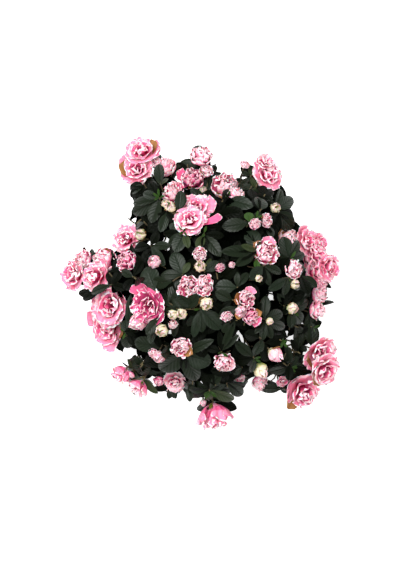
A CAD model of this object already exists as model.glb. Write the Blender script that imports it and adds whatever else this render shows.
"""Azalea shrub in full bloom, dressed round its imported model.

Trunk and boughs get bark, and every foliage mass is grown again from its limb by the rule of the part's
source, carried on to finer twigs, whorls of leaves and full double blossoms. The rule works in millimetres,
the meshes are in metres. +Z is up, +Y is the top edge of the main view.
"""

import math
from functools import partial

import bpy
import numpy as np
from bpy.props import FloatProperty, FloatVectorProperty, IntProperty, PointerProperty
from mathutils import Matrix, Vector


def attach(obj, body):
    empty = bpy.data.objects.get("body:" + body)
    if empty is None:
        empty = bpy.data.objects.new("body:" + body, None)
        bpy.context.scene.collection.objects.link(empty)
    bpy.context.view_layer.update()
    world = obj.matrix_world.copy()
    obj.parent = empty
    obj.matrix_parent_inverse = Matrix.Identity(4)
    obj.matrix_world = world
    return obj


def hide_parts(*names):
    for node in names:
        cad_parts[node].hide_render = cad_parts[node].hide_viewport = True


bl_info = {
    "name": "Azalea shrub",
    "version": (1, 0, 0),
    "blender": (4, 5, 0),
    "location": "View3D > Sidebar > Azalea",
    "description": "Grows the bark, twigs, leaves and blossoms of an azalea shrub on its packed model",
    "category": "Add Mesh",
}

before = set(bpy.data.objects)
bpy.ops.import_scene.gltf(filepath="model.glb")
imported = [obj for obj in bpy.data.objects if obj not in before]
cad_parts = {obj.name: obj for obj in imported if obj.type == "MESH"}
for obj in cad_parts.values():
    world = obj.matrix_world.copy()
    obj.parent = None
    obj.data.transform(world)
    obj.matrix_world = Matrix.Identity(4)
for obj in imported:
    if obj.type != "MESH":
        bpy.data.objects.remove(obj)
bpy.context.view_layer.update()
MM = 0.001
UP = Vector((0, 0, 1))


def linear(hex_colour):
    """A colour written as sRGB hex, as the linear values that shaders take."""
    channels = [int(hex_colour[i : i + 2], 16) / 255 for i in (1, 3, 5)]
    return tuple(c / 12.92 if c <= 0.04045 else ((c + 0.055) / 1.055) ** 2.4 for c in channels)


# The part's own numbers, as its source has them.
CROWN_TOP = 226
CROWN_RIM = 92
CROWN_REACH = 114
SKIRT_HEIGHT = 70
TRUNK_FOOT = 14
TRUNK_NECK = 9
TRUNK_TOP = 7
TRUNK_HEIGHT = 46
TRUNK_LEAN = (5, -4)
BOUGH_START = 4.2
BOUGH_END = 2.9
STEM_END = 2.0
TWIG_START = 1.35
TWIG_END = 1.05
GAP = 0.3
SEED = 1907
# What is added to the seed for the fine growth of a mass, and for its petals.
FINE_SEED = 100
PETAL_SEED = 200
DOME_SHOOTS = 92
SKIRT_SHOOTS = 18
GOLDEN_ANGLE = math.radians(137.508)
RIM_TILT = math.radians(72)
BULGE_WIDTH = 19
STARTS = (0.62, 0.9, 0.58, 0.84, 0.6, 0.88, 0.56)
ENTRY_DEPTH = 4
# The places that pull a limb's path on its way, out from and up over its start.
FORK_PULL = 45
BOUGH_PULL = (42, 16)
SHORTEST_BOUGH = 0.35

# The foliage masses: compass name, azimuth from +X, distance of the middle from the axis, its height and how
# far the mass bulges out.
MASSES = (
    ("east", 11, 120, 126, 34),
    ("north_east", 57, 122, 128, 44),
    ("north_west", 113, 124, 128, 54),
    ("west", 173, 122, 126, 34),
    ("south_west", 227, 116, 126, 24),
    ("south", 276, 118, 126, 30),
    ("south_east", 322, 126, 126, 50),
    ("top", 70, 3, 150, 0),
)

# The blossoms: kind, x, y, width across, tilt from upright and tone, from 0 pale to 2 deep; 3 is pink up to
# its soft margins.
BLOSSOMS = (
    ("open", -76, 181, 38, 40, 1), ("open", -84, 157, 41, 30, 1), ("half", -45, 158, 28, 46, 0),
    ("half", -34, 123, 31, 25, 0), ("bud", -39, 104, 16, 16, 0), ("half", 1, 174, 29, 44, 1),
    ("half", -10, 143, 30, 30, 2), ("half", 33, 135, 38, 30, 0), ("open", 88, 150, 40, 36, 1),
    ("open", 86, 166, 28, 55, 0), ("bud", 97, 103, 16, 30, 0), ("open", -3, 104, 38, 16, 1),
    ("open", -14, 89, 37, 40, 1), ("half", 70, 82, 17, 24, 0), ("half", 86, 87, 18, 30, 0),
    ("half", 85, 46, 33, 22, 1), ("half", 117, 63, 32, 40, 0), ("open", 144, 60, 38, 46, 3),
    ("open", 153, 43, 37, 44, 3), ("open", 170, 28, 40, 50, 3), ("open", 154, 21, 36, 50, 3),
    ("half", 121, 24, 24, 32, 0), ("bud", 121, 5, 14, 30, 0), ("bud", 118, -26, 17, 36, 0),
    ("half", 158, -8, 29, 55, 1), ("half", 155, -29, 28, 55, 1), ("open", -97, 64, 36, 34, 1),
    ("bud", -76, 68, 17, 28, 0), ("half", -95, 34, 28, 34, 2), ("open", -168, 16, 42, 50, 1),
    ("open", -136, 15, 42, 40, 1), ("bud", -57, 33, 19, 34, 1), ("open", -121, -23, 54, 36, 1),
    ("open", -124, -52, 50, 44, 1), ("open", -69, -22, 43, 30, 2), ("bud", -77, -42, 25, 50, 1),
    ("half", 0, 43, 18, 12, 0), ("bud", 0, 27, 17, 14, 0), ("half", -15, 1, 28, 12, 1),
    ("half", 6, 4, 27, 14, 1), ("bud", 8, -19, 19, 20, 0), ("half", 58, -14, 25, 18, 1),
    ("bud", 51, -29, 17, 26, 1), ("half", 65, -36, 23, 24, 2), ("half", 34, -36, 15, 14, 1),
    ("bud", -23, -32, 16, 14, 0), ("bud", -48, -53, 19, 24, 0), ("half", -24, -76, 26, 20, 0),
    ("bud", -52, -87, 18, 32, 1), ("half", 31, -96, 27, 28, 0), ("bud", 95, -84, 21, 70, 1),
    ("half", 79, -124, 26, 66, 0), ("half", 52, -118, 15, 40, 0), ("open", 160, -87, 43, 42, 1),
    ("open", 166, -108, 43, 48, 1), ("open", 137, -136, 49, 42, 1), ("open", 109, -123, 17, 48, 1),
    ("trumpet", 19, -169, 46, 84, 1), ("trumpet", -103, -113, 28, 84, 1),
    ("trumpet", -81, -131, 28, 84, 0), ("open", -34, -124, 31, 46, 0),
)

# The rule's own leafy shoots stay under the ones that the photograph shows, except along the rim, from this
# share of the reach on, and the ring of leaves under a blossom stays under its foot.
RIM_SHARE = 0.83
UNDERNEATH = 26
UNDER_BLOSSOMS = 16
# How far the feet of the rule's shoots and of the shoots seen from above lie under the dome.
RULE_UNDER = 8
SEEN_UNDER = 6

# A blossom's foot lies under its face by this share of its width and sits on a short stalk. Its face stands
# out of the dome by its kind.
FOOT_SHARE = 0.42
STALK = 3
OPEN_RAISED = 8
CLOSED_RAISED = 4
SMALL_RAISED = 3

# The dressed blossoms' petals reach a little past the blossoms of the solids.
FULLNESS = 1.11
# A full leaf with its stalk, which is also the default of the size that a user can change.
LEAF_LENGTH = 38
LEAF_WIDTH = 20
# A leaf on the dome rises or falls by this much at most, and a blade much below the dome gets less light.
STEEPEST = 17
SHADED = 7
HIDDEN = 22
# How many points the path of a twig has, and how long it is at least for one and for two side twigs.
TWIG_POINTS = 12
SIDE_TWIG_FROM = (18, 45)
LOWEST_TWIG = 34
LOWEST_LEAF = 22
# A ring of leaves or petals starts from a direction that points up a little.
TURNED_UP = 0.2
# The places that a leaf tries: turned aside, raised, and its share of its size.
TRIES = ((0, 0, 1), (0.3, 0, 0.95), (-0.3, 0, 0.95), (0, -0.3, 1), (0, 0.4, 0.85))
# The rule's leaves keep this far under the dome where the photograph shows a leaf, by cells of the plan.
CELL = 5
COVERED = 17

# Small buds and half hidden heads, which only the dressed model carries, in the same order of values.
SMALL_BLOSSOMS = (
    ("bud", -44, 107, 12, 30, 0), ("bud", -36, 101, 12, 30, 0), ("half", -5, 72, 11, 20, 0),
    ("half", 59, 162, 14, 40, 0), ("bud", 40, 29, 10, 20, 1), ("bud", 74, 12, 11, 24, 0),
    ("bud", 88, -42, 11, 30, 0), ("bud", -34, -33, 15, 20, 0), ("half", -34, -46, 13, 10, 0),
    ("half", 8, 154, 18, 36, 0), ("half", 47, 122, 22, 50, 0), ("half", -125, 37, 33, 40, 1),
    ("half", -155, 37, 29, 46, 1), ("half", -54, -122, 15, 50, 2), ("half", 25, 26, 12, 20, 2),
    ("bud", 4, 127, 12, 30, 0), ("bud", 77, -104, 22, 62, 0), ("open", 159, 61, 25, 56, 3),
    ("open", 144, 37, 24, 44, 3), ("half", -63, -37, 18, 30, 2), ("half", -60, -84, 13, 40, 0),
    ("bud", 4, -149, 10, 60, 1), ("half", -91, -114, 12, 70, 1), ("half", -57, 165, 16, 50, 0),
    ("half", 161, 8, 17, 56, 1),
)

# Loose petals and broad dry bracts at the side of a blossom: x and y of the blossom, the azimuth, how far
# they reach in half widths of the blossom, and whether they are dry.
LOOSE_PETALS = (
    (-84, 157, 170, 0.95, True), (-76, 181, 25, 1.0, True), (-84, 157, 140, 1.1, False),
    (33, 135, 260, 1.0, True), (58, -14, 175, 1.2, True), (51, -29, 250, 1.1, True),
    (-124, -52, 10, 1.1, True), (160, -87, 185, 1.1, True), (166, -108, 205, 1.1, True),
    (137, -136, 215, 1.1, True), (85, 46, 160, 1.1, True), (95, -84, 100, 1.1, True),
    (8, -19, 150, 1.1, True), (-24, -76, 330, 1.1, True), (117, 63, 160, 1.1, True),
    (-14, 89, 352, 2.15, False), (-3, 104, 12, 1.15, False), (137, -136, 140, 1.3, False),
    (-136, 15, 40, 1.15, False), (-121, -23, 30, 1.15, False), (-69, -22, 322, 1.25, False),
    (-69, -22, 115, 1.25, False), (-125, 37, 350, 1.2, False), (33, 135, 320, 1.2, False),
    (85, 46, 70, 1.15, False), (58, -14, 60, 1.2, False), (144, 60, 128, 1.15, False),
    (154, 21, 270, 1.1, False), (31, -96, 335, 0.95, False), (-10, 143, 155, 1.35, False),
    (-124, -52, 160, 1.15, False), (-124, -52, 285, 1.15, False), (65, -36, 320, 1.2, False),
    (65, -36, 20, 1.1, True),
)

# Where the photograph shows the ground through the crown and between its lobes: x, y and radius.
OPENINGS = (
    (-44, 57, 4), (-65, 58, 2.5), (50, -61, 3), (116, -66, 5), (122, -78, 3), (-38, -58, 3),
    (0, -124, 3.5), (-74, 124, 3), (92, -12, 4), (62, -74, 2.5), (-8, -101, 2.5), (36, 172, 12),
    (52, 162, 8), (-107, 88, 12), (-99, 108, 9), (-104, 130, 9), (-124, 58, 6), (-111, 54, 4),
    (-114, -89, 9), (-98, -86.5, 5), (-65, -150, 7), (-47, -156, 7), (-22, -150, 6), (60, -137, 5),
    (98, -116, 4), (100, -142, 5), (86, -143, 9), (168, -56, 9), (-60, 196, 12), (-37, 181, 10),
    (20, 180, 6), (112, 137, 6), (-92, 88, 4), (128, 104, 5), (62, 172, 4), (176, -38, 8), (-146, 64, 9),
    (66, -123, 2), (-18, 172, 4), (-93, 115, 2), (-91, 104, 3.5), (-90, 88, 4), (-163, 48, 4),
    (-172, -4, 5), (-160, -6, 4), (-107, 145, 5), (-8, -152, 5), (121, -65, 3), (-52, -142, 4),
    (-106, 158, 4), (108, -145, 5), (182, -88, 6), (-147, 58, 4), (-63, 157, 3), (22, 165, 3),
    (-133, 56, 3), (-59, -119, 3.5), (-41, -130, 2), (71, 170, 3), (-27, 142, 3), (32, 159, 4),
    (-104, -98, 5), (-86, -85.5, 3.5), (126, 89, 3), (158, -59, 4), (111, 150, 4), (110, 127, 3),
)

USUAL, DARK, COOL, INNER, YOUNG, FRESH = range(6)
LEAF_TINTS = ("Leaf", "Leaf, dark", "Leaf, cool", "Leaf, inner", "Leaf, young", "Leaf, fresh")

# The leafy shoots that the photograph shows from above: x, y, the number of fresh leaves in the middle, and
# the whorl's leaves, each with its azimuth in degrees, its length in plan, its width and, where it isn't the
# usual one, its tint.
LEAFY_SHOOTS = (
    (-50, 131, 0, ((98, 31, 15), (117, 16, 5, YOUNG), (50, 14, 6, YOUNG), (205, 18, 11),
        (238, 20, 12, DARK))),
    (-71, 132, 0, ((178, 21, 12, DARK), (200, 22, 13), (216, 25, 13, DARK), (250, 13, 11, DARK))),
    (-51, 113, 2, ((184, 38, 13), (205, 42, 19), (249, 32, 19), (122, 27, 14, DARK), (160, 24, 12, COOL))),
    (-42, 97, 0, ((252, 27, 13, COOL), (222, 22, 12, DARK), (300, 18, 10, DARK))),
    (-30, 84, 0, ((238, 13, 11, COOL),)),
    (-20, 70, 2, ((244, 27, 18, COOL), (184, 28, 11, DARK), (286, 20, 10, YOUNG), (215, 26, 11))),
    (-62, 53, 0, ((4, 23, 12), (305, 30, 13, COOL), (186, 23, 13, DARK), (60, 20, 12, DARK))),
    (-22, 17, 0, ((180, 28, 13), (112, 31, 20, COOL), (60, 18, 9, YOUNG))),
    (-57, -3, 0, ((111, 32, 27, COOL),)),
    (-29, -26, 0, ((138, 31, 15), (196, 27, 11), (264, 40, 10))),
    (0, -26, 1, ((242, 42, 15, COOL), (257, 38, 12, COOL), (276, 31, 13), (318, 38, 21, COOL),
        (205, 18, 10, DARK))),
    (-20, -83, 0, ((217, 40, 26), (293, 41, 22), (339, 37, 26, COOL), (27, 40, 13), (268, 22, 10, DARK))),
    (-50, -76, 0, ((168, 36, 20), (110, 16, 9, DARK))),
    (-92, -55, 1, ((262, 25, 16), (88, 46, 9, COOL), (300, 22, 12, DARK), (20, 20, 11, DARK))),
    (-108, -60, 0, ((286, 25, 6, DARK),)),
    (-86, -105, 3, ((250, 16, 9, DARK), (86, 17, 10), (156, 20, 3, DARK), (318, 17, 9, DARK),
        (288, 15, 6, YOUNG), (345, 24, 13, DARK), (115, 15, 5, YOUNG), (58, 20, 6, YOUNG),
        (20, 26, 9, DARK))),
    (-76, -116, 0, ((309, 31, 11, YOUNG), (15, 16, 9, DARK))),
    (-38, -128, 0, ((192, 24, 11, DARK), (262, 17, 9), (294, 17, 9), (325, 15, 8, DARK))),
    (12, -130, 3, ((172, 33, 19), (197, 24, 15, DARK), (356, 34, 12), (334, 38, 15, YOUNG),
        (103, 28, 15, DARK), (58, 27, 12), (272, 14, 9, YOUNG), (250, 13, 8, FRESH))),
    (34, -121, 0, ((319, 31, 16), (341, 28, 15, DARK), (110, 16, 12, DARK))),
    (27, -80, 1, ((66, 40, 10), (44, 30, 8), (163, 22, 11, DARK), (95, 26, 9, DARK))),
    (68, -88, 3, ((60, 23, 15, COOL), (140, 30, 14), (222, 17, 13, COOL), (190, 28, 17, DARK),
        (262, 20, 10))),
    (69, -105, 0, ((200, 20, 8, COOL),)),
    (82, -40, 0, ((87, 31, 14), (22, 27, 15), (337, 32, 13), (290, 27, 11), (262, 27, 11), (233, 22, 8),
        (205, 20, 12, DARK))),
    (76, -63, 0, ((165, 20, 16, DARK),)),
    (117, -29, 1, ((318, 25, 17, COOL), (26, 29, 13), (130, 27, 11), (266, 22, 13), (175, 20, 12))),
    (112, 13, 1, ((214, 27, 13, COOL), (320, 24, 12), (255, 24, 11))),
    (113, 37, 1, ((99, 31, 18, COOL), (58, 29, 13), (15, 24, 12), (150, 22, 14), (300, 18, 11, DARK))),
    (80, 28, 0, ((290, 27, 10), (225, 23, 15, COOL), (341, 26, 12), (262, 26, 12, DARK))),
    (72, 37, 0, ((272, 13, 9, FRESH),)),
    (72, 46, 0, ((178, 41, 16), (213, 31, 14), (108, 31, 22, COOL), (195, 34, 12, DARK),
        (160, 22, 9, YOUNG))),
    (91, 62, 0, ((95, 20, 13, COOL),)),
    (97, 100, 0, ((350, 28, 16, DARK), (36, 33, 17, COOL), (72, 31, 11), (314, 35, 24), (277, 30, 11, DARK),
        (150, 18, 11, DARK))),
    (77, 99, 0, ((83, 20, 20, COOL), (243, 16, 12), (120, 20, 12, DARK))),
    (34, 113, 1, ((271, 26, 7), (292, 28, 9), (345, 33, 18, COOL), (240, 24, 9, DARK))),
    (16, 131, 0, ((281, 34, 14, COOL),)),
    (63, 83, 0, ((188, 35, 18), (96, 14, 13, FRESH), (20, 18, 10, DARK))),
    (66, 145, 0, ((248, 30, 12), (222, 18, 8), (295, 16, 8, YOUNG), (150, 14, 6), (60, 13, 6),
        (100, 14, 6, YOUNG), (172, 13, 8, DARK), (125, 17, 8, DARK))),
    (73, 132, 0, ((243, 22, 9, YOUNG),)),
    (82, 118, 0, ((95, 18, 12, DARK), (30, 16, 10, DARK))),
    (5, 68, 1, ((308, 33, 16), (245, 20, 12, YOUNG), (355, 26, 12, DARK), (275, 24, 11, DARK))),
    (47, 1, 0, ((178, 28, 19, COOL), (92, 20, 8), (55, 24, 11))),
    (41, -15, 0, ((154, 24, 15), (215, 16, 9, DARK))),
    (6, 20, 0, ((38, 22, 13, COOL), (68, 20, 7, YOUNG))),
    (-84, 14, 0, ((152, 19, 11), (235, 22, 12, DARK), (60, 24, 12, DARK))),
    (-112, 4, 0, ((62, 24, 12, DARK), (112, 20, 10, DARK), (200, 30, 12), (345, 20, 11, DARK))),
    (128, -46, 0, ((296, 29, 23, COOL), (230, 20, 10, DARK), (312, 31, 15, DARK), (55, 18, 10, DARK))),
    (127, -83, 0, ((118, 18, 9, DARK),)),
    (114, -101, 3, ((345, 22, 17, COOL), (340, 30, 12, DARK), (200, 27, 15), (98, 26, 14), (50, 18, 10),
        (150, 18, 9, DARK))),
    (110, -131, 0, ((180, 33, 13),)),
    (38, -42, 0, ((235, 18, 10), (285, 20, 10, DARK))),
    (-70, 83, 0, ((196, 15, 9), (250, 20, 12, DARK))),
    (70, 87, 2, ()),
    (102, -66, 2, ()),
    (143, -50, 1, ((250, 20, 7, YOUNG), (210, 18, 8, DARK), (22, 17, 9, DARK), (300, 15, 9, DARK),
        (345, 10, 7, DARK))),
    (144, -32, 0, ((298, 22, 13, DARK), (240, 18, 12, DARK), (165, 15, 12, DARK))),
    (-126, -3, 0, ((189, 34, 13, DARK), (203, 30, 12, DARK))),
    (-16, 158, 0, ((172, 20, 11, DARK), (192, 18, 8, DARK))),
    (12, 146, 0, ((58, 18, 9, DARK),)),
    (15, -144, 0, ((335, 37, 17, DARK),)),
    (-147, 41, 0, ((118, 15, 6, DARK),)),
)

# Petals of a blossom from the outside in. Each whorl: count, then in half widths of the blossom the place
# that pulls a petal's midline (out, up), its tip (out, up) and half its width, then the depth and the
# number of its ruffles.
OPEN_WHORLS = (
    (5, 0.40, 0.52, 1.06, 0.46, 0.80, 0.06, 1.3),
    (4, 0.42, 0.76, 0.82, 0.82, 0.70, 0.08, 1.5),
    (4, 0.30, 0.90, 0.54, 1.00, 0.50, 0.11, 1.8),
    (3, 0.14, 0.80, 0.24, 0.98, 0.38, 0.12, 2.0),
)
HALF_WHORLS = (
    (5, 1.16, 0.22, 0.84, 0.86, 0.66, 0.07, 1.8),
    (5, 1.02, 0.56, 0.56, 1.12, 0.56, 0.10, 2.2),
    (4, 0.74, 0.74, 0.30, 1.24, 0.46, 0.12, 2.2),
    (3, 0.42, 0.84, 0.10, 1.28, 0.34, 0.12, 2.0),
)
TRUMPET_WHORLS = (
    (5, 1.00, 0.28, 1.00, 1.12, 0.56, 0.10, 1.8),
    (5, 0.34, 0.74, 0.72, 1.34, 0.48, 0.13, 2.0),
    (4, 0.16, 0.80, 0.34, 1.36, 0.40, 0.14, 2.0),
)
BUD_WHORLS = (
    (5, 1.18, 0.72, 0.34, 1.78, 0.72, 0.02, 1.0),
    (4, 0.95, 0.85, 0.16, 2.02, 0.58, 0.03, 1.2),
)
SEPALS = (5, 0.30, 0.06, 0.52, 0.40, 0.15, 0.0, 1.0)
SCALES = (4, 0.62, 0.06, 0.90, 0.72, 0.30, 0.02, 1.0)

# How wide a petal is at each of its rows, against its widest place.
ROWS = (0.0, 0.28, 0.54, 0.79, 0.952, 1.0)
OPEN_WIDTHS = (0.14, 0.36, 0.74, 1.0, 0.92, 0.62)
HALF_WIDTHS = (0.2, 0.55, 0.88, 1.0, 0.92, 0.66)
BUD_WIDTHS = (0.32, 0.8, 1.0, 0.84, 0.52, 0.2)
SEPAL_WIDTHS = (0.7, 1.0, 0.9, 0.6, 0.3, 0.04)
COLUMNS = (-1, -0.94, -0.74, -0.54, -0.36, -0.18, 0, 0.18, 0.36, 0.54, 0.74, 0.94, 1)

THROAT, ROSE, DEEP, MIDDLE, PALE, MARGIN, CREAM, LIME, SEPAL, SCALE = range(10)

# What the rows of faces wear from a petal's foot to its margin.
PETAL_ROWS = {
    "open": (THROAT, DEEP, MIDDLE, MIDDLE, MARGIN),
    "half": (ROSE, DEEP, MIDDLE, PALE, MARGIN),
    "bud": (LIME, LIME, CREAM, CREAM, PALE),
    "trumpet": (MIDDLE, DEEP, MIDDLE, MIDDLE, MARGIN),
}
# How far out a petal starts, how deep it is cupped and how uneven its edge is, in half widths of a blossom.
FOOT_OUT = 0.07
CUPPED = 0.32
UNEVEN_EDGE = 0.03
# A loose petal that reaches further than this is a long smooth tongue.
TONGUE_FROM = 1.5
# A full turn, as the petals' rule has it.
FULL_TURN = 6.28


class Seeded:
    """Even random numbers: one seed always grows the same shrub."""

    def __init__(self, seed):
        self.state = seed & 0xFFFFFFFF

    def __call__(self, low, high):
        self.state = (self.state * 1664525 + 1013904223) & 0xFFFFFFFF
        return low + (high - low) * self.state / 4294967296


def mix(a, b, t):
    return a + (b - a) * t


def steps(count, start=0.0, end=1.0):
    return [start + (end - start) * k / (count - 1) for k in range(count)]


def compass(azimuth, out, height=0.0):
    return Vector((out * math.cos(azimuth), out * math.sin(azimuth), height))


def bezier(start, control, end, t):
    return start * (1 - t) ** 2 + control * (2 * t * (1 - t)) + end * t**2


def reach_at(azimuth):
    """Plan distance of the rim's shoot tips: the crown bulges at each mass."""
    reach = CROWN_REACH
    for _, middle, _, _, bulge in MASSES:
        turned = (math.degrees(azimuth) - middle + 540) % 360 - 180
        reach += bulge * math.exp(-((turned / BULGE_WIDTH) ** 2))
    return reach


def out_share(x, y):
    """How far from the axis a place of the plan lies, as a share of the way to the rim."""
    return math.hypot(x, y) / reach_at(math.atan2(y, x))


def dome_height(x, y):
    """Height of the dome of shoot tips over a point of the plan."""
    return CROWN_RIM + (CROWN_TOP - CROWN_RIM) * (1 - min(1, out_share(x, y)) ** 2.2) ** 0.62


def on_dome(x, y, raised):
    return Vector((x, y, dome_height(x, y) + raised))


def outward(x, y, tilt):
    return compass(math.atan2(y, x), math.sin(tilt), math.cos(tilt))


MIDDLES = [compass(math.radians(azimuth), out, height) for _, azimuth, out, height, _ in MASSES]


def depth_inside(point, own):
    """How deep a point lies inside the space of one mass, negative outside it."""
    depth = math.inf
    for i, other in enumerate(MIDDLES):
        if i != own:
            nearer = (point - other).length_squared - (point - MIDDLES[own]).length_squared
            depth = min(depth, nearer / (2 * (MIDDLES[own] - other).length))
    return depth - GAP / 2


def mass_around(point):
    return min(range(len(MIDDLES)), key=lambda i: (point - MIDDLES[i]).length)


def trunk_point(share):
    lean = share**1.15
    return Vector((TRUNK_LEAN[0] * lean, TRUNK_LEAN[1] * lean, TRUNK_HEIGHT * share))


def limb_point(own, t):
    """The path from the trunk to the middle of a mass: first its bough, then the mass's own stem."""
    _, azimuth, _, _, bulge = MASSES[own]
    if bulge == 0:
        fork = trunk_point(1)
        return bezier(fork, fork + UP * FORK_PULL, MIDDLES[own], t)
    start = trunk_point(STARTS[own])
    return bezier(start, start + compass(math.radians(azimuth), *BOUGH_PULL), MIDDLES[own], t)


def entry_share(own):
    """Where on its path a bough ends, a little way inside the space of its mass."""
    t = SHORTEST_BOUGH
    while depth_inside(limb_point(own, t), own) <= ENTRY_DEPTH:
        t += 0.01
        if t > 1:
            raise ValueError(f"the limb to {MASSES[own][0]} never enters its mass")
    return t


def blossom_shoot(blossom, raised):
    """The shoot that ends under a blossom: its foot, its axis, the blossom, and no leaves of its own."""
    kind, x, y, width, tilt, tone = blossom
    axis = outward(x, y, math.radians(tilt))
    head = on_dome(x, y, raised)
    return head - axis * (width * FOOT_SHARE + STALK), axis, (kind, head, width, tone), None


def planned_shoots():
    """One shoot under each blossom, the rest even over the dome and round its skirt."""
    planned = [blossom_shoot(b, OPEN_RAISED if b[0] == "open" else CLOSED_RAISED) for b in BLOSSOMS]
    for n in range(DOME_SHOOTS):
        azimuth = n * GOLDEN_ANGLE
        share = math.sqrt((n + 0.5) / DOME_SHOOTS)
        place = compass(azimuth, reach_at(azimuth) * share)
        if any(math.hypot(b[1] - place.x, b[2] - place.y) < b[3] / 2 + 5 for b in BLOSSOMS):
            continue
        foot = on_dome(place.x, place.y, -RULE_UNDER)
        axis = outward(place.x, place.y, RIM_TILT * share**1.8)
        if share < RIM_SHARE:
            foot -= axis * (UNDERNEATH * (0.6 + 0.8 * (n % 5) / 4))
        planned.append((foot, axis, None, None))
    for n in range(SKIRT_SHOOTS):
        azimuth = (n + 0.5) * 2 * math.pi / SKIRT_SHOOTS
        out, raised, rise = (0.74, 0, -0.1) if n % 2 else (0.93, 14, 0.15)
        foot = compass(azimuth, reach_at(azimuth) * out, SKIRT_HEIGHT + raised)
        planned.append((foot, compass(azimuth, 1, rise).normalized(), None, None))
    return planned


def finer_shoots():
    """Shoots that only the dressed model carries: small buds, and the leafy shoots seen from above."""
    finer = [blossom_shoot(b, SMALL_RAISED) for b in SMALL_BLOSSOMS]
    for x, y, fresh, leaves in LEAFY_SHOOTS:
        axis = outward(x, y, RIM_TILT * min(1, out_share(x, y)) ** 1.8)
        finer.append((on_dome(x, y, -SEEN_UNDER), axis, None, (fresh, leaves)))
    return finer


def seen_cells():
    """The cells of the plan that a leaf of the photograph covers."""
    cells = set()
    for x, y, _, leaves in LEAFY_SHOOTS:
        for azimuth, length, width, *_ in leaves:
            along = compass(math.radians(azimuth), 1)
            for share in (0.3, 0.45, 0.6, 0.75, 0.9):
                for aside in (-0.3, 0, 0.3):
                    cells.add(cell(x + along.x * length * share - along.y * width * aside,
                                   y + along.y * length * share + along.x * width * aside))
    return cells


def cell(x, y):
    return round(x / CELL), round(y / CELL)


def keep_clear(path):
    """A twig goes round the openings of the crown."""
    cleared = []
    for p in path:
        for x, y, radius in OPENINGS:
            aside = Vector((p.x - x, p.y - y, 0))
            if aside.length < radius + 2:
                p = p + aside.normalized() * (radius + 2 - aside.length)
        cleared.append(p)
    return cleared


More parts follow.
